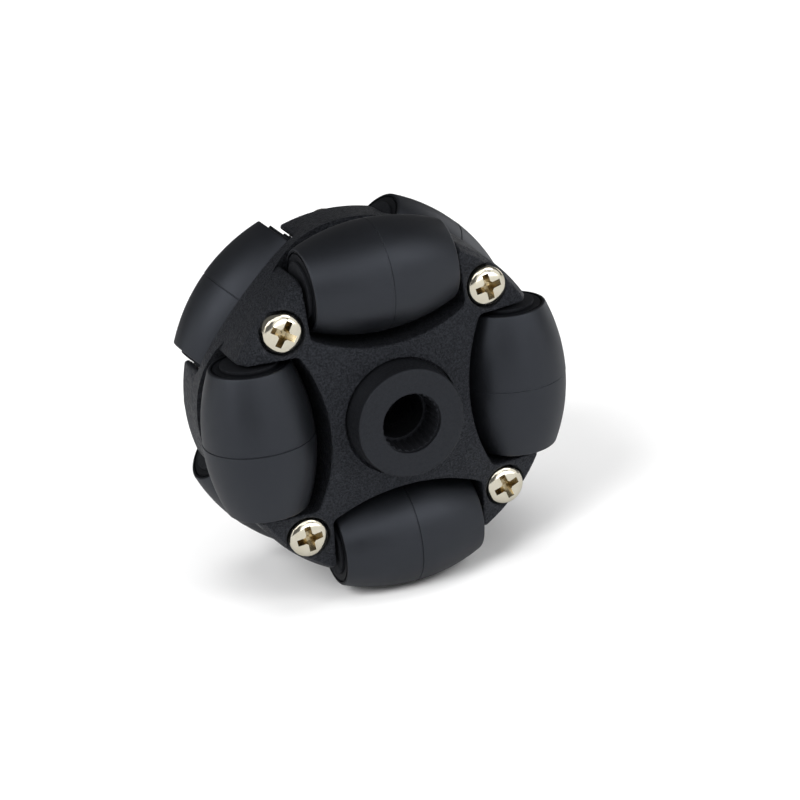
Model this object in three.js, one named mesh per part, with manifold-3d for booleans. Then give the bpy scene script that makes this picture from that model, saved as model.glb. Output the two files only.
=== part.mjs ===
// Double-row omni wheel, 40 mm across, for a small spline-shaft servo.
//
// Frame: millimetres, +Z up. The origin is the middle of the wheel, the wheel spins about Y and its
// front (the splined boss that the servo shaft enters) faces -Y. Two rows of four barrel rollers lie
// side by side; the rear row is the front row turned over and shifted by half a roller pitch, so one
// roller or the other always carries the wheel.
//
// Every row is clamped the same way: its steel pins lie in half-round grooves that meet at the joint
// between the core moulding and a star-shaped cover, and four pan-head screws pull the cover down.

import * as THREE from 'three';
import { mergeVertices } from 'three/addons/utils/BufferGeometryUtils.js';
import Module from 'manifold-3d';

// ---------------------------------------------------------------- driving dimensions

const WHEEL_RADIUS = 20;
const ROLLERS_PER_ROW = 4;
const ROW_OFFSET = 5.6;              // from the middle of the wheel to a row's roller axes

const ROLLER_AXIS_RADIUS = 14.2;     // from the wheel's axis to a roller's axis
const ROLLER_LENGTH = 15.6;
const TREAD_EDGE_ROUND = 0.5;
const TREAD_BORE_RADIUS = 2.6;
const FLANGE_RADIUS = 3.0;           // the hub's end discs, which hold the tread between them
const FLANGE_LENGTH = 16.2;          // from the outside of one disc to the outside of the other
const NOSE_RADIUS = 1.3;             // small collar that keeps the discs off the arms
const NOSE_LENGTH = 16.6;

const PIN_RADIUS = 0.75;
const PIN_LENGTH = 20.2;
const PIN_RUNNING_GAP = 0.07;        // the hub spins on the pin
const FIT_GAP = 0.05;                // pieces that are clamped or pressed together

const RIM_RADIUS = 18.6;             // outside of the arms, at the middle of the wheel
const RIM_DRAFT = 0.06;              // the arms get this much narrower for each millimetre outwards
const FACE_EDGE_RADIUS = 17.67;      // where the cover's face ends and its chamfer starts
const CHAMFER_START = 6.9;           // from the middle of the wheel to the foot of the chamfer
const DOME_RADIUS = 90;              // the cover's face is a very shallow dome
const DOME_TOP = 9.75;

const POCKET_HALF_WIDTH = 8.45;
const POCKET_FLOOR = 7.75;           // from the wheel's axis to the middle of the pocket's floor
const POCKET_FLOOR_ARC = 17.4;       // the floor follows the roller's barrel shape
const POCKET_CORNER = 0.8;
const POCKET_REACH = 6.8;            // from the roller's axis to the deepest part of the pocket's back
const POCKET_BACK_ARC = 14;          // the back is bowed like the roller, so a web stays at its ends

const BOSS_FACE = 12.2;              // from the middle of the wheel to the boss's face
const BOSS_BASE_RADIUS = 6.0;
const BOSS_TOP_RADIUS = 5.75;
const BOSS_EDGE = 0.3;

const SPLINE_TEETH = 25;
const SPLINE_ROOT_RADIUS = 3.1;
const SPLINE_TIP_RADIUS = 2.9;
const SPLINE_DEPTH = 3.7;
const DEEP_BORE_RADIUS = 2.75;       // behind the splines, wide enough for the shaft screw's head
const THROUGH_BORE_RADIUS = 1.6;     // through the web that the shaft screw's head sits on
const BORE_WEB_HALF = 2;             // half of that web's thickness

const SCREW_CIRCLE_RADIUS = 15.8;
const SCREW_SEAT = 7.3;              // from the middle of the wheel to the counterbore's floor
const SCREW_TIP = 2.6;
const SCREW_SHANK_RADIUS = 1.0;
const SCREW_HEAD_RADIUS = 2.05;
const SCREW_HEAD_HEIGHT = 1.5;
const SCREW_HEAD_SIDE = 1.05;
const SCREW_HOLE_END = 2.2;
const COUNTERBORE_RADIUS = 2.3;
const RECESS_SPAN = 2.6;
const RECESS_WIDTH = 0.6;
const RECESS_DEPTH = 0.8;
const SCREW_TURNS_DEG = [34, 26, 38, 78];   // how far each screw's cross ended up turned

const LATHE_STEPS = 48;
const ROLLER_STEPS = 20;
const SMALL_STEPS = 12;
const CORNER_STEPS = 3;
const FLOOR_STEPS = 8;
const BACK_STEPS = 8;
const CUT_REACH = 3;                 // how far a cutting tool runs past what it cuts

// ---------------------------------------------------------------- materials

const finishes = {
  plastic: { color: 0x2a2b2e, roughness: 0.62, metalness: 0 },
  rubber: { color: 0x303134, roughness: 0.78, metalness: 0 },
  hub: { color: 0x232427, roughness: 0.5, metalness: 0 },
  nickel: { color: 0xd8d4c8, roughness: 0.22, metalness: 1 },
  steel: { color: 0xb9bcc0, roughness: 0.3, metalness: 1 },
};

function namedMesh(name, geometry, finish) {
  const mesh = new THREE.Mesh(geometry, new THREE.MeshStandardMaterial(finishes[finish]));
  mesh.name = name;
  return mesh;
}

// ---------------------------------------------------------------- solids and booleans

const wasm = await Module();
wasm.setup();

// A closed three.js geometry as a manifold solid. Points on a lathe's axis collapse the triangles
// that touch them, so triangles with a repeated corner are left out.
function toSolid(geometry) {
  const bare = geometry.clone();
  bare.deleteAttribute('normal');
  bare.deleteAttribute('uv');
  const merged = mergeVertices(bare, 1e-4);
  const corners = merged.index.array;
  const kept = [];
  for (let i = 0; i < corners.length; i += 3) {
    const [a, b, c] = corners.slice(i, i + 3);
    if (a !== b && b !== c && c !== a) kept.push(a, b, c);
  }
  return new wasm.Manifold(new wasm.Mesh({
    numProp: 3,
    vertProperties: new Float32Array(merged.attributes.position.array),
    triVerts: new Uint32Array(kept),
  }));
}

function toGeometry(solid) {
  const mesh = solid.getMesh();
  const geometry = new THREE.BufferGeometry();
  geometry.setAttribute('position', new THREE.BufferAttribute(mesh.vertProperties, 3));
  geometry.setIndex(new THREE.BufferAttribute(mesh.triVerts, 1));
  geometry.computeVertexNormals();
  return geometry;
}

function cut(base, tools) {
  return tools.reduce((solid, tool) => solid.subtract(toSolid(tool)), base);
}

// A solid of revolution about Y from [radius, y] pairs, listed from low y to high y on the outside.
function turned(profile, steps) {
  return new THREE.LatheGeometry(profile.map(([radius, y]) => new THREE.Vector2(radius, y)), steps);
}

// A straight round bar along Y.
function bar(radius, fromY, toY, steps) {
  const geometry = new THREE.CylinderGeometry(radius, radius, toY - fromY, steps);
  geometry.translate(0, (fromY + toY) / 2, 0);
  return geometry;
}

// The prism that has the given outline, drawn with +X to the right and +Z up, between two y values.
function prism(outline, fromY, toY) {
  const geometry = new THREE.ExtrudeGeometry(outline, { depth: toY - fromY, bevelEnabled: false });
  geometry.rotateX(Math.PI / 2);
  geometry.translate(0, toY, 0);
  return geometry;
}

// One copy of a geometry for each roller place, turned about the wheel's axis.
function aroundWheel(geometry, phase) {
  const copies = [];
  for (let k = 0; k < ROLLERS_PER_ROW; k += 1) {
    copies.push(geometry.clone().rotateY(phase + placeAngle(k)));
  }
  return copies;
}

function placeAngle(k) {
  return (2 * Math.PI * k) / ROLLERS_PER_ROW;
}

const HALF_PITCH = Math.PI / ROLLERS_PER_ROW;

// ---------------------------------------------------------------- shared outlines

function rimRadius(fromMiddle) {
  return RIM_RADIUS - RIM_DRAFT * fromMiddle;
}

// Points along an arc, both ends included, with angles in radians from +X towards +Z.
function arcPoints(centreX, centreZ, radius, fromAngle, toAngle, steps) {
  const points = [];
  for (let i = 0; i <= steps; i += 1) {
    const angle = THREE.MathUtils.lerp(fromAngle, toAngle, i / steps);
    points.push(new THREE.Vector2(centreX + radius * Math.cos(angle), centreZ + radius * Math.sin(angle)));
  }
  return points;
}

// The pocket that a roller turns in, for the roller above the wheel's axis. Its floor is an arc
// about a centre above the roller, its corners are rounded and its sides run out past the rim.
function pocketOutline() {
  const arcCentre = POCKET_FLOOR + POCKET_FLOOR_ARC;
  const cornerX = POCKET_HALF_WIDTH - POCKET_CORNER;
  const cornerReach = POCKET_FLOOR_ARC - POCKET_CORNER;
  const cornerZ = arcCentre - Math.sqrt(cornerReach ** 2 - cornerX ** 2);
  const left = Math.PI;
  const right = 2 * Math.PI;
  const tangent = Math.atan2(arcCentre - cornerZ, cornerX);
  const top = WHEEL_RADIUS + CUT_REACH;
  return new THREE.Shape([
    new THREE.Vector2(POCKET_HALF_WIDTH, top),
    new THREE.Vector2(-POCKET_HALF_WIDTH, top),
    ...arcPoints(-cornerX, cornerZ, POCKET_CORNER, left, left + tangent, CORNER_STEPS).slice(0, -1),
    ...arcPoints(0, arcCentre, POCKET_FLOOR_ARC, left + tangent, right - tangent, FLOOR_STEPS),
    ...arcPoints(cornerX, cornerZ, POCKET_CORNER, right - tangent, right, CORNER_STEPS).slice(1),
  ]);
}

// The room that the pocket takes behind a front roller, seen from the rim with +Y upwards. It is
// open towards the front of the wheel and bowed at the back.
function pocketBackOutline() {
  const side = POCKET_HALF_WIDTH + CUT_REACH / 2;
  const deepest = -ROW_OFFSET + POCKET_REACH;
  const arcEnd = Math.acos(side / POCKET_BACK_ARC);
  return new THREE.Shape([
    new THREE.Vector2(-side, -WHEEL_RADIUS),
    new THREE.Vector2(side, -WHEEL_RADIUS),
    ...arcPoints(0, deepest - POCKET_BACK_ARC, POCKET_BACK_ARC, arcEnd, Math.PI - arcEnd, BACK_STEPS),
  ]);
}

function splineOutline() {
  const points = [];
  for (let i = 0; i < 2 * SPLINE_TEETH; i += 1) {
    const radius = i % 2 === 0 ? SPLINE_ROOT_RADIUS : SPLINE_TIP_RADIUS;
    const angle = (Math.PI * i) / SPLINE_TEETH;
    points.push(new THREE.Vector2(radius * Math.cos(angle), radius * Math.sin(angle)));
  }
  return new THREE.Shape(points);
}

// The grooves that a row's pins lie in, as bars a little wider than the pins.
function pinGrooves(rowY, phase) {
  const groove = bar(PIN_RADIUS + FIT_GAP, -PIN_LENGTH / 2 - FIT_GAP, PIN_LENGTH / 2 + FIT_GAP, SMALL_STEPS);
  groove.rotateZ(Math.PI / 2);
  groove.translate(0, rowY, ROLLER_AXIS_RADIUS);
  return aroundWheel(groove, phase);
}

function screwHoles(radius, fromY, toY, phase) {
  const hole = bar(radius, fromY, toY, SMALL_STEPS);
  hole.translate(0, 0, SCREW_CIRCLE_RADIUS);
  return aroundWheel(hole, phase);
}

// ---------------------------------------------------------------- core moulding

// Everything that the core moulding gives up for one front roller.
function corePocket() {
  const across = toSolid(prism(pocketOutline(), -WHEEL_RADIUS, WHEEL_RADIUS));
  const back = new THREE.ExtrudeGeometry(pocketBackOutline(), { depth: 2 * WHEEL_RADIUS, bevelEnabled: false });
  return toGeometry(across.intersect(toSolid(back)));
}

// The middle of the wheel: a drum that carries both rows' arms, with the rollers' pockets cut out.
function coreBody() {
  const seam = ROW_OFFSET - FIT_GAP / 2;
  const seamRadius = rimRadius(seam);
  const profile = [[0, -seam], [seamRadius, -seam], [rimRadius(0), 0], [seamRadius, seam], [0, seam]];
  const frontPocket = corePocket();
  const rearPocket = frontPocket.clone().rotateZ(Math.PI);
  const hole = SCREW_SHANK_RADIUS + FIT_GAP;
  return cut(toSolid(turned(profile, LATHE_STEPS)), [
    ...aroundWheel(frontPocket, 0),
    ...aroundWheel(rearPocket, HALF_PITCH),
    ...pinGrooves(-ROW_OFFSET, 0),
    ...pinGrooves(ROW_OFFSET, HALF_PITCH),
    ...screwHoles(hole, -seam - CUT_REACH, -SCREW_HOLE_END, HALF_PITCH),
    ...screwHoles(hole, SCREW_HOLE_END, seam + CUT_REACH, 0),
    bar(THROUGH_BORE_RADIUS, -seam - CUT_REACH, seam + CUT_REACH, ROLLER_STEPS),
    bar(DEEP_BORE_RADIUS, -seam - CUT_REACH, -BORE_WEB_HALF, ROLLER_STEPS),
    bar(DEEP_BORE_RADIUS, BORE_WEB_HALF, seam + CUT_REACH, ROLLER_STEPS),
  ]);
}

// ---------------------------------------------------------------- star cover

function domeHeight(radius) {
  return DOME_TOP - radius ** 2 / (2 * DOME_RADIUS);
}

function coverProfile() {
  const seam = ROW_OFFSET + FIT_GAP / 2;
  const domeSteps = 3;
  const dome = [];
  for (let i = 0; i <= domeSteps; i += 1) {
    const radius = THREE.MathUtils.lerp(BOSS_BASE_RADIUS, FACE_EDGE_RADIUS, i / domeSteps);
    dome.push([radius, -domeHeight(radius)]);
  }
  return [
    [0, -BOSS_FACE],
    [BOSS_TOP_RADIUS - BOSS_EDGE, -BOSS_FACE],
    [BOSS_TOP_RADIUS - BOSS_EDGE * 0.29, -BOSS_FACE + BOSS_EDGE * 0.29],
    [BOSS_TOP_RADIUS, -BOSS_FACE + BOSS_EDGE],
    ...dome,
    [rimRadius(CHAMFER_START), -CHAMFER_START],
    [rimRadius(seam), -seam],
    [0, -seam],
  ];
}

// The cover of the front row: it holds the pins down and carries the splined boss.
function starCover() {
  const outside = -BOSS_FACE - CUT_REACH;
  const inside = -ROW_OFFSET + CUT_REACH;
  const clearance = SCREW_SHANK_RADIUS + 3 * FIT_GAP;
  return cut(toSolid(turned(coverProfile(), LATHE_STEPS)), [
    ...aroundWheel(prism(pocketOutline(), outside, inside), 0),
    ...pinGrooves(-ROW_OFFSET, 0),
    ...screwHoles(clearance, outside, inside, HALF_PITCH),
    ...screwHoles(COUNTERBORE_RADIUS, outside, -SCREW_SEAT, HALF_PITCH),
    prism(splineOutline(), outside, -BOSS_FACE + SPLINE_DEPTH),
    bar(DEEP_BORE_RADIUS, outside, inside, ROLLER_STEPS),
  ]);
}

// ---------------------------------------------------------------- screws and pins

// Four arms: each quarter turn adds an inner corner and the two corners of an arm's end.
function crossOutline() {
  const half = RECESS_WIDTH / 2;
  const reach = RECESS_SPAN / 2;
  const centre = new THREE.Vector2();
  const points = [];
  for (let quarter = 0; quarter < 4; quarter += 1) {
    for (const [x, z] of [[half, half], [half, reach], [-half, reach]]) {
      points.push(new THREE.Vector2(x, z).rotateAround(centre, (quarter * Math.PI) / 2));
    }
  }
  return new THREE.Shape(points);
}

// A pan-head screw with a cross recess, lying along Y with its head towards -Y.
function coverScrew(turnDeg) {
  const seat = -SCREW_SEAT - FIT_GAP;
  const top = seat - SCREW_HEAD_HEIGHT;
  const profile = [
    [0, top],
    [SCREW_HEAD_RADIUS * 0.45, top + 0.05],
    [SCREW_HEAD_RADIUS * 0.8, top + 0.25],
    [SCREW_HEAD_RADIUS, seat - SCREW_HEAD_SIDE],
    [SCREW_HEAD_RADIUS, seat],
    [SCREW_SHANK_RADIUS, seat],
    [SCREW_SHANK_RADIUS, -SCREW_TIP - SCREW_SHANK_RADIUS / 2],
    [SCREW_SHANK_RADIUS / 2, -SCREW_TIP],
    [0, -SCREW_TIP],
  ];
  const recess = prism(crossOutline(), top - CUT_REACH, top + RECESS_DEPTH);
  recess.rotateY(THREE.MathUtils.degToRad(turnDeg));
  return cut(toSolid(turned(profile, SMALL_STEPS)), [recess]);
}

function rollerPin() {
  return bar(PIN_RADIUS, -PIN_LENGTH / 2, PIN_LENGTH / 2, SMALL_STEPS).rotateZ(Math.PI / 2);
}

// ---------------------------------------------------------------- rollers

// The barrel's outside follows the wheel's own circle, so the wheel rolls round.
function barrelRadius(along) {
  return Math.sqrt(WHEEL_RADIUS ** 2 - along ** 2) - ROLLER_AXIS_RADIUS;
}

function rollerTread() {
  const half = ROLLER_LENGTH / 2;
  const shoulder = half - TREAD_EDGE_ROUND;
  const steps = 6;
  const barrel = [];
  for (let i = 0; i <= steps; i += 1) {
    const along = THREE.MathUtils.lerp(-shoulder, shoulder, i / steps);
    barrel.push([barrelRadius(along), along]);
  }
  const endRadius = barrelRadius(shoulder) - TREAD_EDGE_ROUND;
  const profile = [
    [TREAD_BORE_RADIUS, -half],
    [endRadius, -half],
    ...barrel,
    [endRadius, half],
    [TREAD_BORE_RADIUS, half],
    [TREAD_BORE_RADIUS, -half],
  ];
  return turned(profile, ROLLER_STEPS).rotateZ(Math.PI / 2);
}

function rollerHub() {
  const bore = PIN_RADIUS + PIN_RUNNING_GAP;
  const barrel = TREAD_BORE_RADIUS - FIT_GAP;
  const treadEnd = ROLLER_LENGTH / 2 + FIT_GAP;
  const flangeEnd = FLANGE_LENGTH / 2;
  const noseEnd = NOSE_LENGTH / 2;
  const profile = [
    [bore, -noseEnd],
    [NOSE_RADIUS, -noseEnd],
    [NOSE_RADIUS, -flangeEnd],
    [FLANGE_RADIUS, -flangeEnd],
    [FLANGE_RADIUS, -treadEnd],
    [barrel, -treadEnd],
    [barrel, treadEnd],
    [FLANGE_RADIUS, treadEnd],
    [FLANGE_RADIUS, flangeEnd],
    [NOSE_RADIUS, flangeEnd],
    [NOSE_RADIUS, noseEnd],
    [bore, noseEnd],
    [bore, -noseEnd],
  ];
  return turned(profile, SMALL_STEPS).rotateZ(Math.PI / 2);
}

// ---------------------------------------------------------------- assembly

// One row as it lies at the front of the wheel: cover, screws, pins and rollers.
function wheelRow(prefix) {
  const row = new THREE.Group();
  row.add(namedMesh(`${prefix}_cover`, toGeometry(starCover()), 'plastic'));
  for (let k = 0; k < ROLLERS_PER_ROW; k += 1) {
    const place = new THREE.Group();
    place.rotation.y = placeAngle(k);
    const rollerSeat = new THREE.Group();
    rollerSeat.position.set(0, -ROW_OFFSET, ROLLER_AXIS_RADIUS);
    rollerSeat.add(namedMesh(`${prefix}_pin_${k + 1}`, rollerPin(), 'steel'));
    rollerSeat.add(namedMesh(`${prefix}_hub_${k + 1}`, rollerHub(), 'hub'));
    rollerSeat.add(namedMesh(`${prefix}_tread_${k + 1}`, rollerTread(), 'rubber'));
    place.add(rollerSeat);
    row.add(place);

    const arm = new THREE.Group();
    arm.rotation.y = placeAngle(k) + HALF_PITCH;
    const screw = namedMesh(`${prefix}_screw_${k + 1}`, toGeometry(coverScrew(SCREW_TURNS_DEG[k])), 'nickel');
    screw.position.z = SCREW_CIRCLE_RADIUS;
    arm.add(screw);
    row.add(arm);
  }
  return row;
}

const wheel = new THREE.Group();
wheel.add(namedMesh('core_body', toGeometry(coreBody()), 'plastic'));
wheel.add(wheelRow('front'));

const rearRow = wheelRow('rear');
rearRow.rotation.z = Math.PI;
const rearPhase = new THREE.Group();
rearPhase.rotation.y = HALF_PITCH;
rearPhase.add(rearRow);
wheel.add(rearPhase);

export default wheel;
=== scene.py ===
import math

import bmesh
import bpy
from mathutils import Matrix, Vector
from mathutils.geometry import delaunay_2d_cdt


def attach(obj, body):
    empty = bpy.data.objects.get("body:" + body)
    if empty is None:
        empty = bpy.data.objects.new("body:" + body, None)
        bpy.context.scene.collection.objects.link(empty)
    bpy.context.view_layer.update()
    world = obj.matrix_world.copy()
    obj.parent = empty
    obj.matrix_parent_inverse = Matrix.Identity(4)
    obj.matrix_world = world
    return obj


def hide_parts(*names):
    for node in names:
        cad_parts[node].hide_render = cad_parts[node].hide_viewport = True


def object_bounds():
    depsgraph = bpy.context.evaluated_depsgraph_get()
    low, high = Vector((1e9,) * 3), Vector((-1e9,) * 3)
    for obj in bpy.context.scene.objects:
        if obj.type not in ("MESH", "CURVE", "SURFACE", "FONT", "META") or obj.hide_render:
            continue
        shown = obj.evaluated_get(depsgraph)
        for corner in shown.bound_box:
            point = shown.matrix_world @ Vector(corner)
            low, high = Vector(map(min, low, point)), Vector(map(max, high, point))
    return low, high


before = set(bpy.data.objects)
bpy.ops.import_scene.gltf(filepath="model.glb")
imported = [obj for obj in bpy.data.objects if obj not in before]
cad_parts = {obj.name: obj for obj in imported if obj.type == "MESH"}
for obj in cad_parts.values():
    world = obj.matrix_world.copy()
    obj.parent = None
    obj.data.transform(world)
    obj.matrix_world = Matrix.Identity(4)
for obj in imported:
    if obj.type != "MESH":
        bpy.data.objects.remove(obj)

CAD_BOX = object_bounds()

# Looks of the double-row omni wheel. Lengths are in millimetres, as in the CAD, and become metres
# when a mesh is made. A row is built as it lies at the front of the wheel, where "height" means
# distance from the wheel's middle towards the front, so a height h is at y = -h.

MM = 0.001
ROLLERS_PER_ROW = 4
PITCH = 2 * math.pi / ROLLERS_PER_ROW

# ------------------------------------------------------------------ dimensions shared with the CAD

WHEEL_RADIUS = 20.0
ROW_OFFSET = 5.6
ROLLER_AXIS_RADIUS = 14.2
ROLLER_LENGTH = 15.6
TREAD_BORE_RADIUS = 2.6
FLANGE_RADIUS = 3.0
FLANGE_LENGTH = 16.2
NOSE_RADIUS = 1.3
NOSE_LENGTH = 16.6
PIN_RADIUS = 0.75
PIN_LENGTH = 20.2
FIT_GAP = 0.05
RIM_RADIUS = 18.6
RIM_DRAFT = 0.06
FACE_EDGE_RADIUS = 17.67
CHAMFER_START = 6.9
DOME_RADIUS = 90.0
DOME_TOP = 9.75
POCKET_HALF_WIDTH = 8.45
POCKET_FLOOR = 7.75
POCKET_FLOOR_ARC = 17.4
POCKET_CORNER = 0.8
POCKET_REACH = 6.8
POCKET_BACK_ARC = 14.0
BOSS_FACE = 12.2
BOSS_BASE_RADIUS = 6.0
BOSS_TOP_RADIUS = 5.75
SPLINE_TEETH = 25
SPLINE_ROOT_RADIUS = 3.1
SPLINE_TIP_RADIUS = 2.95
SPLINE_DEPTH = 3.7
DEEP_BORE_RADIUS = 2.75
THROUGH_BORE_RADIUS = 1.6
BORE_WEB_HALF = 2.0
SCREW_CIRCLE_RADIUS = 15.8
SCREW_SEAT = 7.3
SCREW_TIP = 2.6
SCREW_SHANK_RADIUS = 1.0
SCREW_HEAD_RADIUS = 2.05
SCREW_HEAD_HEIGHT = 1.5
SCREW_HEAD_SIDE = 1.05
SCREW_HOLE_END = 2.2
COUNTERBORE_RADIUS = 2.3
SCREW_TURNS_DEG = [34, 26, 38, 78]

# ------------------------------------------------------------------ finer detail that only shows here

POCKET_EDGE = 0.2             # rounding where a pocket's wall meets the cover's face
ARM_CORNER = 0.3              # rounding of an arm's corners, where the pocket meets the rim
CHAMFER_FOOT_EDGE = 0.12
CHAMFER_TOP_EDGE = 0.3
COUNTERBORE_EDGE = 0.16
BOSS_EDGE = 0.26
BOSS_GROOVE_WIDTH = 0.26      # a fine dark gap that runs round the boss's foot
BOSS_GROOVE_DEPTH = 0.45
SOCKET_LEAD_RADIUS = 3.17     # plain ring at the socket's mouth, before the teeth start
SOCKET_LEAD_DEPTH = 0.45
TREAD_EDGE = 0.2
END_GROOVE_RADIUS = 3.8       # fine ring line on a roller's end face
END_GROOVE_WIDTH = 0.22
END_GROOVE_DEPTH = 0.22
PARTING_GROOVE_WIDTH = 0.15
PARTING_GROOVE_DEPTH = 0.08
PARTING_STEP = 0.03           # one half of the roller's mould closed this much smaller
BOSS_SEGMENTS = 8 * SPLINE_TEETH


# ------------------------------------------------------------------ small geometry helpers

def lerp(a, b, t):
    return a + (b - a) * t


def rim_radius(height):
    return RIM_RADIUS - RIM_DRAFT * abs(height)


def dome_height(radius):
    return DOME_TOP - radius ** 2 / (2 * DOME_RADIUS)


def polar(radius, angle):
    """A point in the wheel's plane, angle from +Z towards +X."""
    return radius * math.sin(angle), radius * math.cos(angle)


def circle(radius, height, steps):
    """A level ring of (x, height, z) points, from +X towards +Z."""
    angles = [2 * math.pi * s / steps for s in range(steps)]
    return [(radius * math.cos(a), height, radius * math.sin(a)) for a in angles]


def arc(centre, radius, start, end, steps):
    """Points on an arc, both ends included, angles from +X towards +Z."""
    found = []
    for i in range(steps + 1):
        a = lerp(start, end, i / steps)
        found.append((centre[0] + radius * math.cos(a), centre[1] + radius * math.sin(a)))
    return found


def fillet(before, corner, after, radius, steps):
    """The arc that rounds a corner of a profile, as a list of points."""
    c = Vector(corner)
    u = (Vector(before) - c).normalized()
    v = (Vector(after) - c).normalized()
    half = math.acos(max(-1.0, min(1.0, u.dot(v)))) / 2
    reach = radius / math.tan(half)
    start, end = c + u * reach, c + v * reach
    centre = c + (u + v).normalized() * (radius / math.sin(half))
    a0 = math.atan2(start.y - centre.y, start.x - centre.x)
    a1 = math.atan2(end.y - centre.y, end.x - centre.x)
    turn = (a1 - a0 + math.pi) % (2 * math.pi) - math.pi
    return arc(centre, radius, a0, a0 + turn, steps)


def rounded(profile, radii, steps=5):
    """A profile whose inner corners are replaced by fillets; a radius of 0 keeps the corner."""
    found = [profile[0]]
    for i in range(1, len(profile) - 1):
        radius = radii.get(i, 0)
        if radius:
            found += fillet(profile[i - 1], profile[i], profile[i + 1], radius, steps)
        else:
            found.append(profile[i])
    return found + [profile[-1]]


def mesh_of(name, points, faces):
    """A mesh from points in millimetres, with its faces turned outwards."""
    mesh = bpy.data.meshes.new(name)
    mesh.from_pydata([(x * MM, y * MM, z * MM) for x, y, z in points], [], faces)
    bm = bmesh.new()
    bm.from_mesh(mesh)
    bmesh.ops.remove_doubles(bm, verts=bm.verts, dist=2e-7)
    bmesh.ops.dissolve_degenerate(bm, edges=bm.edges, dist=1e-8)
    bm.to_mesh(mesh)
    bm.free()
    turn_faces_out(mesh)
    return mesh


def turn_faces_out(mesh):
    bm = bmesh.new()
    bm.from_mesh(mesh)
    bmesh.ops.recalc_face_normals(bm, faces=bm.faces)
    bm.to_mesh(mesh)
    bm.free()
    mesh.update()


def turned(name, profile, steps, closed=False):
    """A solid of revolution about Y from (radius, height) points. A closed profile is a ring."""
    points, faces = [], []
    for radius, height in profile:
        for s in range(steps):
            x, z = polar(radius, 2 * math.pi * s / steps)
            points.append((x, -height, z))
    rows = len(profile)
    for r in range(rows if closed else rows - 1):
        nxt = (r + 1) % rows
        for s in range(steps):
            t = (s + 1) % steps
            faces.append((r * steps + s, r * steps + t, nxt * steps + t, nxt * steps + s))
    return mesh_of(name, points, faces)


def object_of(name, mesh):
    obj = bpy.data.objects.new(name, mesh)
    bpy.context.scene.collection.objects.link(obj)
    return obj


def joined(name, meshes):
    """One mesh that holds several."""
    bm = bmesh.new()
    for mesh in meshes:
        bm.from_mesh(mesh)
    result = bpy.data.meshes.new(name)
    bm.to_mesh(result)
    bm.free()
    return result


def moved(mesh, matrix):
    copy = mesh.copy()
    copy.transform(matrix)
    return copy


def combined(base, tool, operation):
    """The mesh left by an exact boolean of two meshes."""
    a, b = object_of("base", base), object_of("tool", tool)
    modifier = a.modifiers.new("boolean", "BOOLEAN")
    modifier.operation = operation
    modifier.solver = "EXACT"
    modifier.object = b
    graph = bpy.context.evaluated_depsgraph_get()
    result = bpy.data.meshes.new_from_object(a.evaluated_get(graph))
    bpy.data.objects.remove(a)
    bpy.data.objects.remove(b)
    return result


def around(angle):
    return Matrix.Rotation(angle, 4, "Y")


def shift(x, y, z):
    return Matrix.Translation((x * MM, y * MM, z * MM))


LYING = Matrix.Rotation(math.pi / 2, 4, "Z")      # lays a solid turned about Y along X
FLIP = Matrix.Rotation(math.pi, 4, "Z")           # turns the front of the wheel to its rear


# ------------------------------------------------------------------ the pocket's outline

POCKET_CENTRE = POCKET_FLOOR + POCKET_FLOOR_ARC
CORNER_X = POCKET_HALF_WIDTH - POCKET_CORNER
CORNER_Z = POCKET_CENTRE - math.sqrt((POCKET_FLOOR_ARC - POCKET_CORNER) ** 2 - CORNER_X ** 2)
CORNER_TURN = math.atan2(POCKET_CENTRE - CORNER_Z, CORNER_X)


def pocket_floor(offset):
    """The lower part of the pocket above the axis, left wall's foot to right wall's foot, moved
    by an offset into the plastic."""
    corner = POCKET_CORNER + offset
    floor = POCKET_FLOOR_ARC + offset
    left = arc((-CORNER_X, CORNER_Z), corner, math.pi, math.pi + CORNER_TURN, 7)
    middle = arc((0, POCKET_CENTRE), floor, math.pi + CORNER_TURN, 2 * math.pi - CORNER_TURN, 36)
    right = arc((CORNER_X, CORNER_Z), corner, 2 * math.pi - CORNER_TURN, 2 * math.pi, 7)
    return left[:-1] + middle + right[1:]


def arm_corner(rim, offset, radius, steps=6):
    """The rounded corner from the pocket's right wall to the rim, as points from wall to rim."""
    x = POCKET_HALF_WIDTH + offset + radius
    z = math.sqrt((rim - radius) ** 2 - x ** 2)
    return arc((x, z), radius, math.pi, math.atan2(z, x), steps)


def ring(rim, offset, corner_radius):
    """One closed outline of the star, as (x, z, share of rim) points. It starts at the middle of
    the rim before the first pocket and runs round with growing angle."""
    wall_steps, rim_steps = 10, 20
    right = arm_corner(rim, offset, corner_radius)
    left = [(-x, z) for x, z in reversed(right)]
    floor = pocket_floor(offset)
    shares = [i / (len(right) - 1) for i in range(len(right))]
    pocket = [(x, z, 1 - s) for (x, z), s in zip(left, shares)]
    top, foot = left[-1], floor[0]
    for i in range(1, wall_steps):
        t = i / wall_steps
        pocket.append((lerp(top[0], foot[0], t), lerp(top[1], foot[1], t), 0))
    pocket += [(x, z, 0) for x, z in floor]
    for i in range(1, wall_steps):
        t = i / wall_steps
        pocket.append((-foot[0], lerp(foot[1], top[1], t), 0))
    pocket += [(x, z, s) for (x, z), s in zip(right, shares)]
    start = math.atan2(right[-1][0], right[-1][1])
    for i in range(1, rim_steps):
        x, z = polar(rim, lerp(start, PITCH - start, i / rim_steps))
        pocket.append((x, z, 1))
    found = []
    for k in range(ROLLERS_PER_ROW):
        c, s = math.cos(k * PITCH), math.sin(k * PITCH)
        found += [(x * c + z * s, -x * s + z * c, share) for x, z, share in pocket]
    return found


# ------------------------------------------------------------------ the star-shaped cover

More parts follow.
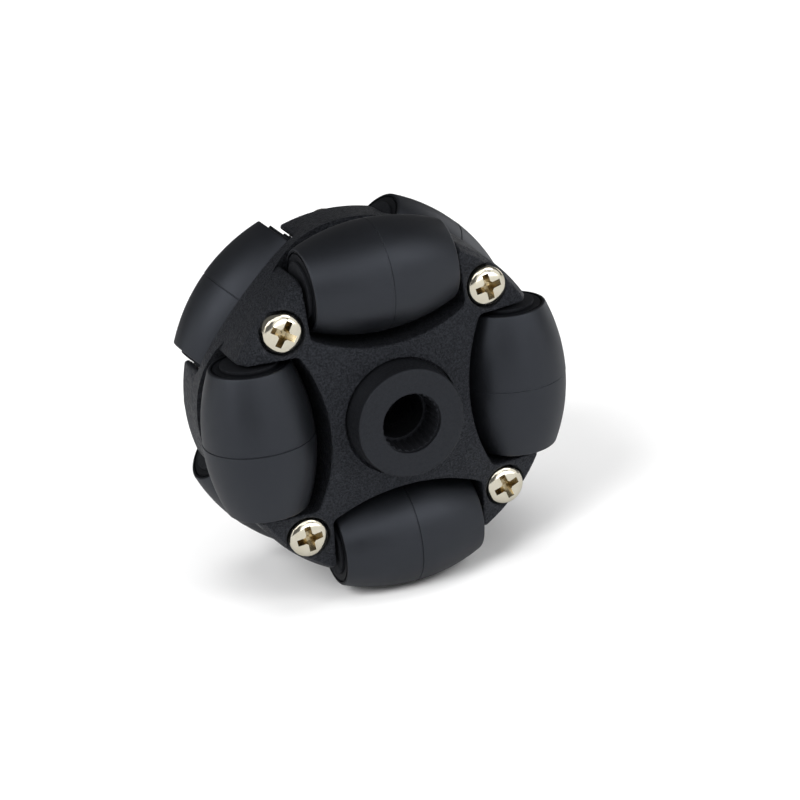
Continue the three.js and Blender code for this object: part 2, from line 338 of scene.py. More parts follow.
def cover_rings():
    """The cover's outside from the joint up to its face, as rings of (x, height, z) points."""
    foot = (rim_radius(CHAMFER_START), CHAMFER_START)
    edge = (FACE_EDGE_RADIUS, dome_height(FACE_EDGE_RADIUS))
    inner = (FACE_EDGE_RADIUS - 2, dome_height(FACE_EDGE_RADIUS - 2))
    start = (rim_radius(ROW_OFFSET), ROW_OFFSET)
    rim = [start] + fillet(start, foot, edge, CHAMFER_FOOT_EDGE, 3)
    top_edge = fillet(foot, edge, inner, CHAMFER_TOP_EDGE, 7)
    rim_top = top_edge[0][1]
    rings = []
    for radius, height in rim:
        share = (height - ROW_OFFSET) / (rim_top - ROW_OFFSET)
        made = []
        for x, z, on_rim in ring(radius, 0, ARM_CORNER):
            wall_top = dome_height(math.hypot(x, z)) - POCKET_EDGE
            wall = lerp(ROW_OFFSET, wall_top, share)
            made.append((x, lerp(wall, height, on_rim), z))
        rings.append(made)
    for i, (radius, height) in enumerate(top_edge):
        turn = math.pi / 2 * i / (len(top_edge) - 1)
        offset = POCKET_EDGE * (1 - math.cos(turn))
        drop = POCKET_EDGE * (1 - math.sin(turn))
        made = []
        for x, z, on_rim in ring(radius, offset, ARM_CORNER - offset):
            wall = dome_height(math.hypot(x, z)) - drop
            made.append((x, lerp(wall, height, on_rim), z))
        rings.append(made)
    inset = 0.05
    last = ring(top_edge[-1][0] - inset, POCKET_EDGE + inset, ARM_CORNER - POCKET_EDGE - inset / 2)
    rings.append([(x, dome_height(math.hypot(x, z)), z) for x, z, _ in last])
    return rings


def spline_radius(angle):
    """The socket's splined wall: rounded teeth between the root and the tip radius."""
    wave = math.cos(SPLINE_TEETH * angle)
    shaped = wave * (1.35 - 0.35 * wave * wave)
    middle = (SPLINE_ROOT_RADIUS + SPLINE_TIP_RADIUS) / 2
    return middle + (SPLINE_ROOT_RADIUS - SPLINE_TIP_RADIUS) / 2 * shaped


def boss_rings():
    """The boss from its foot on the cover's face, over its top and down its bore to the joint.
    A splined level's radius is added to the teeth's."""
    gap = BOSS_BASE_RADIUS + BOSS_GROOVE_WIDTH
    face = dome_height(BOSS_BASE_RADIUS)
    outside = rounded([
        (gap + 0.1, dome_height(gap + 0.1)),
        (gap, face),
        (gap - 0.02, face - BOSS_GROOVE_DEPTH),
        (BOSS_BASE_RADIUS, face - BOSS_GROOVE_DEPTH),
        (BOSS_TOP_RADIUS, BOSS_FACE),
        (SOCKET_LEAD_RADIUS + 0.3, BOSS_FACE),
    ], {1: 0.03, 4: BOSS_EDGE}, 6)
    floor = BOSS_FACE - SPLINE_DEPTH
    teeth = BOSS_FACE - SOCKET_LEAD_DEPTH
    mouth = [
        (SOCKET_LEAD_RADIUS + 0.07, BOSS_FACE),
        (SOCKET_LEAD_RADIUS, BOSS_FACE - 0.07),
        (SOCKET_LEAD_RADIUS, teeth),
    ]
    spline = [(0.03, teeth), (0, teeth - 0.05), (0, floor + 0.04), (0.04, floor)]
    deep_bore = [
        (DEEP_BORE_RADIUS + 0.04, floor),
        (DEEP_BORE_RADIUS, floor - 0.04),
        (DEEP_BORE_RADIUS, ROW_OFFSET),
    ]
    levels = [(radius, height, False) for radius, height in outside + mouth]
    levels += [(extra, height, True) for extra, height in spline]
    levels += [(radius, height, False) for radius, height in deep_bore]
    rings = []
    for radius, height, splined in levels:
        made = []
        for s in range(BOSS_SEGMENTS):
            angle = 2 * math.pi * s / BOSS_SEGMENTS
            x, z = polar(radius + (spline_radius(angle) if splined else 0), angle)
            made.append((x, height, z))
        rings.append(made)
    return rings


def stack(rings, points, faces):
    """Adds rings of equal length to a mesh and the quads between them. Returns the first and the
    last ring's point numbers."""
    count = len(rings[0])
    base = len(points)
    for made in rings:
        points += made
    for r in range(len(rings) - 1):
        for i in range(count):
            j = (i + 1) % count
            a = base + r * count
            faces.append((a + i, a + j, a + count + j, a + count + i))
    first = [base + i for i in range(count)]
    last = [base + (len(rings) - 1) * count + i for i in range(count)]
    return first, last


def sheet_between(outer, inner, spacing, points, faces):
    """Fills the flat or domed region between two closed loops of points with triangles. With a
    spacing, a hexagonal net of extra points keeps a dome smooth."""
    numbers = outer + inner
    flat = [Vector((points[n][0], points[n][2])) for n in numbers]
    edges = [(i, (i + 1) % len(outer)) for i in range(len(outer))]
    edges += [(len(outer) + i, len(outer) + (i + 1) % len(inner)) for i in range(len(inner))]
    inner_radius = max(math.hypot(points[n][0], points[n][2]) for n in inner)
    if spacing:
        reach = int(WHEEL_RADIUS / spacing) + 1
        for row in range(-reach, reach + 1):
            for column in range(-reach, reach + 1):
                x = (column + 0.5 * (row % 2)) * spacing
                z = row * spacing * math.sqrt(3) / 2
                radius = math.hypot(x, z)
                if radius < inner_radius + 0.35 * spacing or not inside_star(x, z, 0.35 * spacing):
                    continue
                numbers.append(len(points))
                points.append((x, dome_height(radius), z))
                flat.append(Vector((x, z)))
    made = delaunay_2d_cdt(flat, edges, [], 1, 1e-6)
    kept_points, kept_faces, origins = made[0], made[2], made[3]
    for face in kept_faces:
        centre = sum((kept_points[i] for i in face), Vector((0, 0))) / len(face)
        if centre.length > inner_radius * math.cos(math.pi / len(inner)) ** 2:
            faces.append(tuple(numbers[origins[i][0]] for i in face))


def inside_star(x, z, margin):
    """True where the cover's face is at least margin away from the pockets and the rim."""
    if math.hypot(x, z) > FACE_EDGE_RADIUS - CHAMFER_TOP_EDGE - margin:
        return False
    for k in range(ROLLERS_PER_ROW):
        c, s = math.cos(k * PITCH), math.sin(k * PITCH)
        px, pz = x * c - z * s, x * s + z * c
        offset = POCKET_EDGE + 0.05 + margin
        beside = abs(px) > POCKET_HALF_WIDTH + offset
        below = math.hypot(px, pz - POCKET_CENTRE) > POCKET_FLOOR_ARC + offset
        if pz > 0 and not beside and not below:
            return False
    return True


def counterbore_tool():
    """A screw's counterbore and clearance hole, with a rim that flares along the cover's edge."""
    steps = 64
    profile_height = 14.0

    def surface(x, z):
        radius = math.hypot(x, z + SCREW_CIRCLE_RADIUS)
        chamfer_slope = (dome_height(FACE_EDGE_RADIUS) - CHAMFER_START) / (
            rim_radius(CHAMFER_START) - FACE_EDGE_RADIUS)
        chamfer = CHAMFER_START + (rim_radius(CHAMFER_START) - radius) * chamfer_slope
        return max(SCREW_SEAT + 0.02, min(dome_height(radius), chamfer))

    clearance = SCREW_SHANK_RADIUS + 0.15
    rings = [
        circle(clearance, ROW_OFFSET - 1, steps),
        circle(clearance, SCREW_SEAT, steps),
        circle(COUNTERBORE_RADIUS, SCREW_SEAT, steps),
    ]
    edge_steps = 5
    for i in range(edge_steps + 1):
        turn = math.pi / 2 * i / edge_steps
        out = COUNTERBORE_RADIUS + COUNTERBORE_EDGE * (1 - math.cos(turn))
        drop = COUNTERBORE_EDGE * (1 - math.sin(turn))
        rings.append([(x, surface(x, z) - drop, z) for x, _, z in circle(out, 0, steps)])
    rings.append(circle(COUNTERBORE_RADIUS + COUNTERBORE_EDGE, profile_height, steps))
    points, faces = [], []
    first, last = stack(rings, points, faces)
    faces += [tuple(first), tuple(last)]
    points = [(x, -height, z) for x, height, z in points]
    return mesh_of("counterbore", points, faces)


def groove_tool(height, phase):
    """The half-round grooves of one row's pins."""
    length = PIN_LENGTH / 2 + FIT_GAP
    radius = PIN_RADIUS + FIT_GAP
    bar = turned("groove", [(0, -length), (radius, -length), (radius, length), (0, length)], 32)
    return [moved(bar, around(phase + k * PITCH) @ shift(0, -height, ROLLER_AXIS_RADIUS) @ LYING)
            for k in range(ROLLERS_PER_ROW)]


def cover_mesh():
    points, faces = [], []
    first, last = stack(cover_rings(), points, faces)
    foot, bore_end = stack(boss_rings(), points, faces)
    sheet_between(last, foot, 0.8, points, faces)
    sheet_between(first, bore_end, None, points, faces)
    body = mesh_of("cover", [(x, -height, z) for x, height, z in points], faces)
    bore = counterbore_tool()
    tools = [moved(bore, around((k + 0.5) * PITCH) @ shift(0, 0, SCREW_CIRCLE_RADIUS))
             for k in range(ROLLERS_PER_ROW)]
    body = combined(body, joined("tools", tools), "DIFFERENCE")
    body = combined(body, joined("tools", groove_tool(ROW_OFFSET, 0)), "DIFFERENCE")
    for face in body.polygons:
        on_boss = math.hypot(face.center.x, face.center.z) < (BOSS_BASE_RADIUS + 0.01) * MM
        face.material_index = 1 if on_boss else 0
    return body


# ------------------------------------------------------------------ the core moulding

def prism(name, outline, low, high):
    """The prism of a closed (x, z) outline between two y values."""
    count = len(outline)
    points = [(x, low, z) for x, z in outline] + [(x, high, z) for x, z in outline]
    faces = [tuple(range(count)), tuple(range(2 * count - 1, count - 1, -1))]
    for i in range(count):
        j = (i + 1) % count
        faces.append((i, j, count + j, count + i))
    return mesh_of(name, points, faces)


SWAP_Y_AND_Z = Matrix(((1, 0, 0, 0), (0, 0, 1, 0), (0, 1, 0, 0), (0, 0, 0, 1)))


def core_pocket():
    """What the core gives up for one front roller: the pocket's prism, bowed at the back."""
    rim = rim_radius(ROW_OFFSET)
    right = arm_corner(rim, 0, ARM_CORNER)
    end = Vector(right[-1])
    out = end.normalized() * 0.15 + Vector((end.y, -end.x)).normalized()
    right.append(tuple(end + out * 1.5))
    right.append((right[-1][0], WHEEL_RADIUS + 4))
    left = [(-x, z) for x, z in reversed(right)]
    outline = left + pocket_floor(0) + right
    across = prism("pocket", outline, -3 * ROW_OFFSET, 2 * ROW_OFFSET)
    deepest = -ROW_OFFSET + POCKET_REACH
    side = 13.0
    bow = arc((0, deepest - POCKET_BACK_ARC), POCKET_BACK_ARC,
              math.acos(side / POCKET_BACK_ARC), math.pi - math.acos(side / POCKET_BACK_ARC), 64)
    bow = [(side, -4 * ROW_OFFSET)] + bow + [(-side, -4 * ROW_OFFSET)]
    back = prism("back", bow, -5, 2 * WHEEL_RADIUS)
    back.transform(SWAP_Y_AND_Z)
    turn_faces_out(back)
    return combined(across, back, "INTERSECT")


def core_mesh():
    rim, middle = rim_radius(ROW_OFFSET), RIM_RADIUS
    deep, bore, web = DEEP_BORE_RADIUS, THROUGH_BORE_RADIUS, BORE_WEB_HALF
    drum = turned("drum", [
        (deep, -ROW_OFFSET), (rim, -ROW_OFFSET), (middle - 0.012, -0.2), (middle - 0.012, 0.2),
        (rim, ROW_OFFSET), (deep, ROW_OFFSET), (deep, web), (bore + 0.1, web), (bore, web - 0.1),
        (bore, 0.1 - web), (bore + 0.1, -web), (deep, -web),
    ], 240, closed=True)
    pocket = core_pocket()
    for k in range(ROLLERS_PER_ROW):
        drum = combined(drum, moved(pocket, around(k * PITCH)), "DIFFERENCE")
        drum = combined(drum, moved(pocket, around((k + 0.5) * PITCH) @ FLIP), "DIFFERENCE")
    hole = turned("hole", [(0, SCREW_HOLE_END), (1.05, SCREW_HOLE_END), (1.05, 8), (0, 8)], 32)
    holes = [moved(hole, around((k + 0.5) * PITCH) @ shift(0, 0, SCREW_CIRCLE_RADIUS))
             for k in range(ROLLERS_PER_ROW)]
    holes += [moved(mesh, around(PITCH / 2) @ FLIP) for mesh in holes]
    drum = combined(drum, joined("holes", holes), "DIFFERENCE")
    grooves = groove_tool(ROW_OFFSET, 0) + groove_tool(-ROW_OFFSET, PITCH / 2)
    return combined(drum, joined("grooves", grooves), "DIFFERENCE")


# ------------------------------------------------------------------ rollers, pins and screws

def barrel_radius(along):
    return math.sqrt(WHEEL_RADIUS ** 2 - along ** 2) - ROLLER_AXIS_RADIUS


def tread_mesh():
    """A rubber barrel with a parting line round its middle. Its end faces have material 1."""
    half = ROLLER_LENGTH / 2
    shoulder = half - 0.28
    outer = []
    steps = 48
    for i in range(steps + 1):
        along = lerp(-shoulder, shoulder, i / steps)
        if abs(along) > PARTING_GROOVE_WIDTH:
            step = PARTING_STEP if along < 0 else 0
            outer.append((barrel_radius(along) - step, along))
    groove = PARTING_GROOVE_WIDTH / 2
    top = barrel_radius(0)
    middle = next(i for i, p in enumerate(outer) if p[1] > 0)
    outer[middle:middle] = [
        (top - PARTING_STEP, -groove), (top - PARTING_STEP - PARTING_GROOVE_DEPTH * 0.6, -groove / 3),
        (top - PARTING_GROOVE_DEPTH, groove / 3), (top, groove),
    ]
    end = barrel_radius(half)
    corner_low = fillet(outer[1], (end - PARTING_STEP, -half), (3.4, -half), TREAD_EDGE, 6)[::-1]
    corner_high = fillet(outer[-2], (end, half), (3.4, half), TREAD_EDGE, 6)
    outer = [p for p in outer if abs(p[1]) < abs(corner_high[0][1]) - 0.02]
    groove_half = END_GROOVE_WIDTH / 2
    relief = [(END_GROOVE_RADIUS + groove_half, half),
              (END_GROOVE_RADIUS + groove_half / 3, half - END_GROOVE_DEPTH),
              (END_GROOVE_RADIUS - groove_half / 3, half - END_GROOVE_DEPTH),
              (END_GROOVE_RADIUS - groove_half, half)]
    profile = [(TREAD_BORE_RADIUS, -half)]
    profile += [(r, -a) for r, a in reversed(relief)]
    profile += corner_low + outer + corner_high + relief
    profile += [(TREAD_BORE_RADIUS, half)]
    mesh = turned("tread", [(r, -a) for r, a in profile], 96, closed=True)
    for face in mesh.polygons:
        on_end = abs(face.center.y) > (half - END_GROOVE_DEPTH - 0.01) * MM and abs(face.normal.y) > 0.3
        within = math.hypot(face.center.x, face.center.z) < (end - TREAD_EDGE) * MM
        face.material_index = 1 if on_end and within else 0
    return moved(mesh, LYING)


def hub_mesh():
    """The plastic bushing of a roller, with a flange and a short nose at each end."""
    bore = PIN_RADIUS + 0.07
    tread_end = ROLLER_LENGTH / 2 + 0.01
    flange, nose = FLANGE_LENGTH / 2, NOSE_LENGTH / 2
    barrel = TREAD_BORE_RADIUS - 0.01
    side = rounded([
        (barrel, 0), (barrel, tread_end), (FLANGE_RADIUS, tread_end), (FLANGE_RADIUS, flange),
        (NOSE_RADIUS, flange), (NOSE_RADIUS, nose), (bore + 0.08, nose), (bore, nose - 0.08), (bore, 0),
    ], {3: 0.08, 4: 0.06, 5: 0.06}, 3)
    mirrored = [(r, -a) for r, a in reversed(side[1:-1])]
    mesh = turned("hub", side[1:-1] + mirrored, 64, closed=True)
    return moved(mesh, LYING)


def pin_mesh():
    half, bevel = PIN_LENGTH / 2, 0.12
    mesh = turned("pin", [
        (0, -half), (PIN_RADIUS - bevel, -half), (PIN_RADIUS, -half + bevel),
        (PIN_RADIUS, half - bevel), (PIN_RADIUS - bevel, half), (0, half),
    ], 40)
    return moved(mesh, LYING)


RECESS_REACH = 1.3            # how far out a screw's faces still belong to its cross
CROWN_STEPS = 8
CROWN_SPREAD = 0.62           # below 1, the crown is fuller at its shoulder than a sphere
CROWN_RISE = 1.25


def wing_tool(top):
    """One bar of the cross recess: wide and long at the top, tapering to its floor."""
    upper, lower = top + 0.6, top - 0.95
    sections = [(1.8, 0.4, upper), (1.38, 0.34, top - 0.12), (0.5, 0.22, lower)]
    points, faces = [], []
    rings = []
    for reach, half, height in sections:
        rings.append([
            (-reach, height, -half),
            (reach, height, -half),
            (reach, height, half),
            (-reach, height, half),
        ])
    first, last = stack(rings, points, faces)
    faces += [tuple(first), tuple(last)]
    return mesh_of("wing", [(x, -h, z) for x, h, z in points], faces)


def screw_mesh(turn_deg):
    """A pan-head screw. The faces inside its cross recess have material 1, whose darker metal is painted
    shade.
    """
    seat = SCREW_SEAT + 0.01
    top = seat + SCREW_HEAD_HEIGHT
    side = seat + SCREW_HEAD_SIDE
    crown = []
    for i in range(CROWN_STEPS + 1):
        turn = math.pi / 2 * i / CROWN_STEPS
        radius = SCREW_HEAD_RADIUS * math.cos(turn) ** CROWN_SPREAD
        crown.append((radius, lerp(side, top, math.sin(turn) ** CROWN_RISE)))
    under = [
        (0, SCREW_TIP),
        (0.5, SCREW_TIP),
        (SCREW_SHANK_RADIUS, SCREW_TIP + 0.5),
        (SCREW_SHANK_RADIUS, seat),
        (SCREW_HEAD_RADIUS - 0.06, seat),
        (SCREW_HEAD_RADIUS, seat + 0.06),
    ]
    profile = under + crown[:-1] + [(0, top)]
    head = turned("screw", profile, 72)
    wing = wing_tool(top)
    turn = math.radians(turn_deg)
    for quarter in (0, math.pi / 2):
        head = combined(head, moved(wing, around(turn + quarter)), "DIFFERENCE")
    cone = turned("cone", [(0, top - 1.15), (0.55, top - 0.3), (0.78, top + 0.5), (0, top + 0.5)], 16)
    head = combined(head, cone, "DIFFERENCE")
    for face in head.polygons:
        centre = face.center
        radius = math.hypot(centre.x, centre.z) / MM
        height = -centre.y / MM
        inner = next((i for i in range(len(crown)) if crown[i][0] < radius), len(crown) - 1)
        below_crown = seat < height < crown[inner - 1][1] - 0.06
        face.material_index = 1 if below_crown and radius < RECESS_REACH else 0
    return head


# ------------------------------------------------------------------ materials

def new_material(name):
    material = bpy.data.materials.new(name)
    material.use_nodes = True
    tree = material.node_tree
    tree.nodes.clear()
    output = tree.nodes.new("ShaderNodeOutputMaterial")
    shader = tree.nodes.new("ShaderNodeBsdfPrincipled")
    tree.links.new(shader.outputs["BSDF"], output.inputs["Surface"])
    return material, tree, shader


def millimetre_space(tree):
    """The piece's own coordinates, in millimetres."""
    coordinates = tree.nodes.new("ShaderNodeTexCoord")
    mapping = tree.nodes.new("ShaderNodeMapping")
    mapping.inputs["Scale"].default_value = (1000, 1000, 1000)
    tree.links.new(coordinates.outputs["Object"], mapping.inputs["Vector"])
    return mapping.outputs["Vector"]


def noise(tree, space, scale, detail=2.0, roughness=0.5):
    node = tree.nodes.new("ShaderNodeTexNoise")
    node.inputs["Scale"].default_value = scale
    node.inputs["Detail"].default_value = detail
    node.inputs["Roughness"].default_value = roughness
    tree.links.new(space, node.inputs["Vector"])
    return node.outputs["Fac"]


def ramp(tree, value, stops):
    """A colour ramp from (position, colour) stops."""
    node = tree.nodes.new("ShaderNodeValToRGB")
    elements = node.color_ramp.elements
    while len(elements) < len(stops):
        elements.new(0.5)
    for element, (position, colour) in zip(elements, stops):
        element.position = position
        element.color = (*colour, 1)
    tree.links.new(value, node.inputs["Fac"])
    return node.outputs["Color"]


def remap(tree, value, low, high, to_low, to_high):
    node = tree.nodes.new("ShaderNodeMapRange")
    node.inputs["From Min"].default_value = low
    node.inputs["From Max"].default_value = high
    node.inputs["To Min"].default_value = to_low
    node.inputs["To Max"].default_value = to_high
    tree.links.new(value, node.inputs["Value"])
    return node.outputs["Result"]


def bump(tree, height, distance_mm, strength, under=None):
    node = tree.nodes.new("ShaderNodeBump")
    node.inputs["Strength"].default_value = strength
    node.inputs["Distance"].default_value = distance_mm * MM
    tree.links.new(height, node.inputs["Height"])
    if under is not None:
        tree.links.new(under, node.inputs["Normal"])
    return node.outputs["Normal"]


COOL_GLOSS = (0.8, 0.86, 1.0, 1)   # black plastic and rubber reflect a little bluer than white


def textured_plastic(name, dark, light, roughness, grain_mm, grain_height):
    """Moulded black plastic with a fine spark-eroded grain. The hubs' far darker tones are painted
    shade.
    """
    material, tree, shader = new_material(name)
    space = millimetre_space(tree)
    grain = noise(tree, space, 1 / grain_mm, 3, 0.6)
    speck = noise(tree, space, 0.45 / grain_mm, 2, 0.5)
    tree.links.new(ramp(tree, grain, [(0.4, dark), (0.62, light)]), shader.inputs["Base Color"])
    tree.links.new(remap(tree, speck, 0.3, 0.7, roughness - 0.08, roughness + 0.1),
                   shader.inputs["Roughness"])
    coarse = bump(tree, speck, grain_height, 0.5)
    tree.links.new(bump(tree, grain, grain_height, 1.0, coarse), shader.inputs["Normal"])
    shader.inputs["Specular IOR Level"].default_value = 0.5
    shader.inputs["Specular Tint"].default_value = COOL_GLOSS
    return material


def soft_rubber(name, gloss):
    """Soft-touch rubber: satin, with faint cloudy marks."""
    material, tree, shader = new_material(name)
    space = millimetre_space(tree)
    fine = noise(tree, space, 9, 3, 0.6)
    cloud = noise(tree, space, 0.22, 4, 0.6)
    tree.links.new(ramp(tree, cloud, [(0.3, (0.0045, 0.005, 0.0062)), (0.72, (0.0065, 0.0072, 0.0088))]),
                   shader.inputs["Base Color"])
    tree.links.new(remap(tree, cloud, 0.3, 0.7, 0.42, 0.52), shader.inputs["Roughness"])
    tree.links.new(bump(tree, fine, 0.006, 0.6), shader.inputs["Normal"])
    shader.inputs["Specular IOR Level"].default_value = gloss
    shader.inputs["Specular Tint"].default_value = COOL_GLOSS
    return material


def metal(name, base, tint, roughness, streak_mm):
    """Plated metal with a faint cloudy tarnish and fine scuffs. The much darker tones given for the
    screws' recesses are painted shade.
    """
    spread = 0.05
    material, tree, shader = new_material(name)
    space = millimetre_space(tree)
    cloud = noise(tree, space, 0.9, 4, 0.6)
    scuff = noise(tree, space, 1 / streak_mm, 3, 0.7)
    tree.links.new(ramp(tree, cloud, [(0.35, base), (0.75, tint)]), shader.inputs["Base Color"])
    tree.links.new(remap(tree, scuff, 0.3, 0.7, roughness - spread, roughness + spread),
                   shader.inputs["Roughness"])
    tree.links.new(bump(tree, scuff, 0.003, 0.5), shader.inputs["Normal"])
    shader.inputs["Metallic"].default_value = 1
    return material


PLASTIC = textured_plastic(
    "cover_plastic", dark=(0.003, 0.0035, 0.0045), light=(0.032, 0.034, 0.040),
    roughness=0.46, grain_mm=0.2, grain_height=0.3)
BOSS_PLASTIC = textured_plastic(
    "boss_plastic", dark=(0.009, 0.0096, 0.0112), light=(0.013, 0.0137, 0.0158),
    roughness=0.52, grain_mm=0.14, grain_height=0.02)
# The hubs' near-black, rough plastic is painted shade of the narrow gap between a roller's end and the
# arm above it.
HUB_PLASTIC_PAINTED_SHADE = textured_plastic(
    "hub_plastic_painted_shade", dark=(0.002, 0.002, 0.0023), light=(0.004, 0.004, 0.0045),
    roughness=0.75, grain_mm=0.3, grain_height=0.004)
RUBBER = soft_rubber("tread_rubber", 0.85)
END_RUBBER = soft_rubber("tread_end_rubber", 0.2)
NICKEL = metal("bright_nickel", (0.92, 0.87, 0.73), (0.84, 0.78, 0.62), 0.12, 0.12)
# Much darker than the head's nickel: painted shade inside the screws' cross recesses.
RECESS_PAINTED_SHADE = metal("recess_nickel_painted_shade", (0.62, 0.52, 0.33), (0.20, 0.155, 0.09), 0.2, 0.3)
STEEL = metal("pin_steel", (0.66, 0.66, 0.67), (0.56, 0.56, 0.58), 0.25, 0.2)


# ------------------------------------------------------------------ placing the pieces

def place(name, mesh, matrix, materials, body, slot, *nodes):
    """A piece in its place, riding on its body and standing for its CAD nodes."""
    data = moved(mesh, matrix)
    parts = [face.material_index for face in data.polygons]
    data.materials.clear()
    for material in materials:
        data.materials.append(material)
    obj = object_of(name, data)
    for face, part in zip(data.polygons, parts):
        face.use_smooth = True
        face.material_index = part if part < len(materials) else 0
    data.set_sharp_from_angle(angle=math.radians(32))
    weighted = obj.modifiers.new("weighted", "WEIGHTED_NORMAL")
    weighted.keep_sharp = True
    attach(obj, body)
    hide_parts(*nodes)
    return obj


def build_row(prefix, row, meshes):
    place(f"{prefix}_star_cover", meshes["cover"], row, [PLASTIC, BOSS_PLASTIC],
          "wheel", "plastic", f"{prefix}_cover")
    for k in range(ROLLERS_PER_ROW):
        number = k + 1
        seat = row @ around(k * PITCH) @ shift(0, -ROW_OFFSET, ROLLER_AXIS_RADIUS)
        body = f"{prefix}_roller_{number}"
        place(f"{prefix}_steel_pin_{number}", meshes["pin"], seat, [STEEL],
              "wheel", "pins", f"{prefix}_pin_{number}")
        place(f"{prefix}_flanged_hub_{number}", meshes["hub"], seat, [HUB_PLASTIC_PAINTED_SHADE],
              body, "hubs", f"{prefix}_hub_{number}")
        place(f"{prefix}_rubber_tread_{number}", meshes["tread"], seat, [RUBBER, END_RUBBER],
              body, "treads", f"{prefix}_tread_{number}")
        arm = row @ around((k + 0.5) * PITCH) @ shift(0, 0, SCREW_CIRCLE_RADIUS)
        place(f"{prefix}_cover_screw_{number}", meshes["screws"][k], arm, [NICKEL, RECESS_PAINTED_SHADE],
              "wheel", "screws", f"{prefix}_screw_{number}")


MESHES = {
    "cover": cover_mesh(),
    "tread": tread_mesh(),
    "hub": hub_mesh(),
    "pin": pin_mesh(),
    "screws": [screw_mesh(turn) for turn in SCREW_TURNS_DEG],
}
build_row("front", Matrix.Identity(4), MESHES)
build_row("rear", around(PITCH / 2) @ FLIP, MESHES)
place("core_moulding", core_mesh(), Matrix.Identity(4), [PLASTIC], "wheel", "plastic", "core_body")

# ------------------------------------------------------------------ floor, light and camera

FLOOR_Z = CAD_BOX[0].z
FLOOR_HALF = 3.0              # metres


def build_floor():
    mesh = bpy.data.meshes.new("floor")
    corners = [(-1, -1), (1, -1), (1, 1), (-1, 1)]
    mesh.from_pydata([(x * FLOOR_HALF, y * FLOOR_HALF, FLOOR_Z) for x, y in corners], [], [(0, 1, 2, 3)])
    obj = object_of("floor", mesh)
    material, tree, shader = new_material("pale_paper")
    space = millimetre_space(tree)
    cloud = noise(tree, space, 0.02, 3, 0.5)
    tree.links.new(ramp(tree, cloud, [(0.3, (0.86, 0.86, 0.86)), (0.7, (0.88, 0.88, 0.88))]),
                   shader.inputs["Base Color"])
    shader.inputs["Roughness"].default_value = 0.8
    shader.inputs["Specular IOR Level"].default_value = 0.1
    mesh.materials.append(material)


def direction(azimuth, elevation):
    """The way from the wheel, in degrees. Azimuth 0 is in front of it and 90 on its right."""
    a, e = math.radians(azimuth), math.radians(elevation)
    return Vector((math.sin(a) * math.cos(e), -math.cos(a) * math.cos(e), math.sin(e)))


def area_light(name, azimuth, elevation, distance, size, power, receivers=None):
    """A soft round light aimed at the wheel. With receivers, a collection, it lights only the
    objects in it."""
    data = bpy.data.lights.new(name, "AREA")
    data.shape = "DISK"
    data.size = size
    data.energy = power
    obj = bpy.data.objects.new(name, data)
    bpy.context.scene.collection.objects.link(obj)
    towards = direction(azimuth, elevation)
    obj.location = towards * distance
    obj.rotation_euler = towards.to_track_quat("Z", "Y").to_euler()
    if receivers:
        obj.light_linking.receiver_collection = receivers
    return obj


def collection_of(name, objects):
    found = bpy.data.collections.new(name)
    for obj in objects:
        found.objects.link(obj)
    return found


SOFT_BOXES = [(azimuth, 12, 0.3) for azimuth in (-110, -70, 10, 50)]      # a low ring of fills
SOFT_BOXES += [               # azimuth and elevation in degrees, watts
    (-80, 40, 0.9),           # the key light
    (-40, 40, 0.55),
    (0, 40, 0.5),
    (40, 40, 0.75),           # the second key
    (115, 10, 0.6),           # for the rear of the wheel
]
SOFT_BOX_DISTANCE = 0.7       # metres
SOFT_BOX_SIZE = 0.42
FLOOR_LIGHT_DISTANCE = 3.0
AIR_LIGHT = 0.11              # even light from all round; the backdrop itself looks white
FLOOR_LIGHTS = [              # azimuth, elevation, size in metres, watts
    (-53, 40, 1.3, 60),
    (25, 40, 1.1, 22),
    (0, 90, 2.4, 48),
]


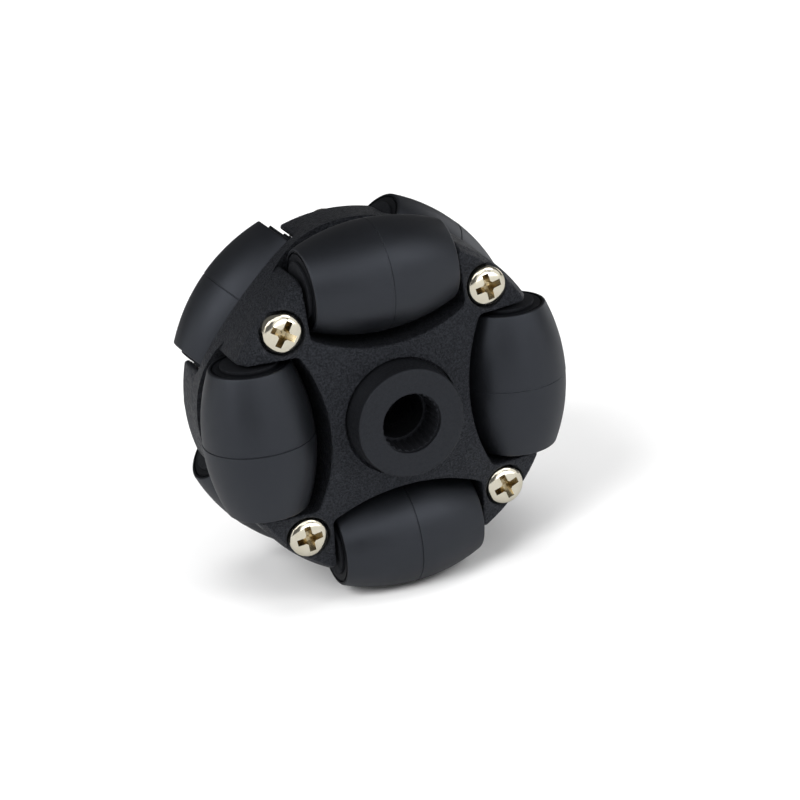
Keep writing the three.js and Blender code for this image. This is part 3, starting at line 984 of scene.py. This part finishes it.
def build_light():
    """Soft boxes on the wheel, lights that reach only the floor, and one for the metal alone."""
    world = bpy.data.worlds.new("studio")
    world.use_nodes = True
    background = world.node_tree.nodes["Background"]
    background.inputs["Color"].default_value = (1, 1, 1, 1)
    rays = world.node_tree.nodes.new("ShaderNodeLightPath")
    strength = remap(world.node_tree, rays.outputs["Is Camera Ray"], 0, 1, AIR_LIGHT, 1)
    world.node_tree.links.new(strength, background.inputs["Strength"])
    bpy.context.scene.world = world
    for i, (azimuth, elevation, power) in enumerate(SOFT_BOXES):
        area_light(f"soft_box_{i + 1}", azimuth, elevation, SOFT_BOX_DISTANCE, SOFT_BOX_SIZE, power)
    floor = collection_of("floor_only", [bpy.data.objects["floor"]])
    for i, (azimuth, elevation, size, power) in enumerate(FLOOR_LIGHTS):
        wash = area_light(f"floor_light_{i + 1}", azimuth, elevation, FLOOR_LIGHT_DISTANCE,
                          size, power, floor)
        wash.data.cycles.max_bounces = 0
    wheel = [o for o in bpy.data.objects if o.type == "MESH" and o.name != "floor"]
    metal = [o for o in wheel if "screw" in o.name or "steel_pin" in o.name]
    glint = area_light("metal_glint", azimuth=20, elevation=-12, distance=0.5, size=0.5, power=1.15,
                       receivers=collection_of("metal_only", metal))
    # It stands for the white floor's reflection, from below the floor, so only the wheel blocks it.
    glint.light_linking.blocker_collection = collection_of("wheel_only", wheel)


CAMERA_AZIMUTH = -22.668      # degrees
CAMERA_ELEVATION = 19.072
CAMERA_ROLL = 6.314           # the wheel stands turned about its own axis in the picture
CAMERA_DISTANCE = 226.1       # millimetres
CAMERA_RIGHT = 3.445          # how far the camera stands to the right of and below that line
CAMERA_DOWN = 1.286
CAMERA_LENS = 96.11


def build_camera():
    """The photograph's camera. Right and up are the picture's own directions."""
    back = direction(CAMERA_AZIMUTH, CAMERA_ELEVATION)
    right = Vector((math.cos(math.radians(CAMERA_AZIMUTH)), math.sin(math.radians(CAMERA_AZIMUTH)), 0))
    up = back.cross(right)
    place_mm = back * CAMERA_DISTANCE + right * CAMERA_RIGHT - up * CAMERA_DOWN
    roll = around(math.radians(CAMERA_ROLL))
    axes = Matrix((right, up, back)).transposed().to_4x4()
    data = bpy.data.cameras.new("camera")
    data.sensor_width = 36
    data.lens = CAMERA_LENS
    obj = bpy.data.objects.new("camera", data)
    bpy.context.scene.collection.objects.link(obj)
    obj.matrix_world = roll @ Matrix.Translation(place_mm * MM) @ axes
    data.clip_start, data.clip_end = 0.01, 20
    bpy.context.scene.camera = obj


build_floor()
build_light()
build_camera()
bpy.context.scene.view_settings.view_transform = "Standard"

bpy.context.view_layer.update()
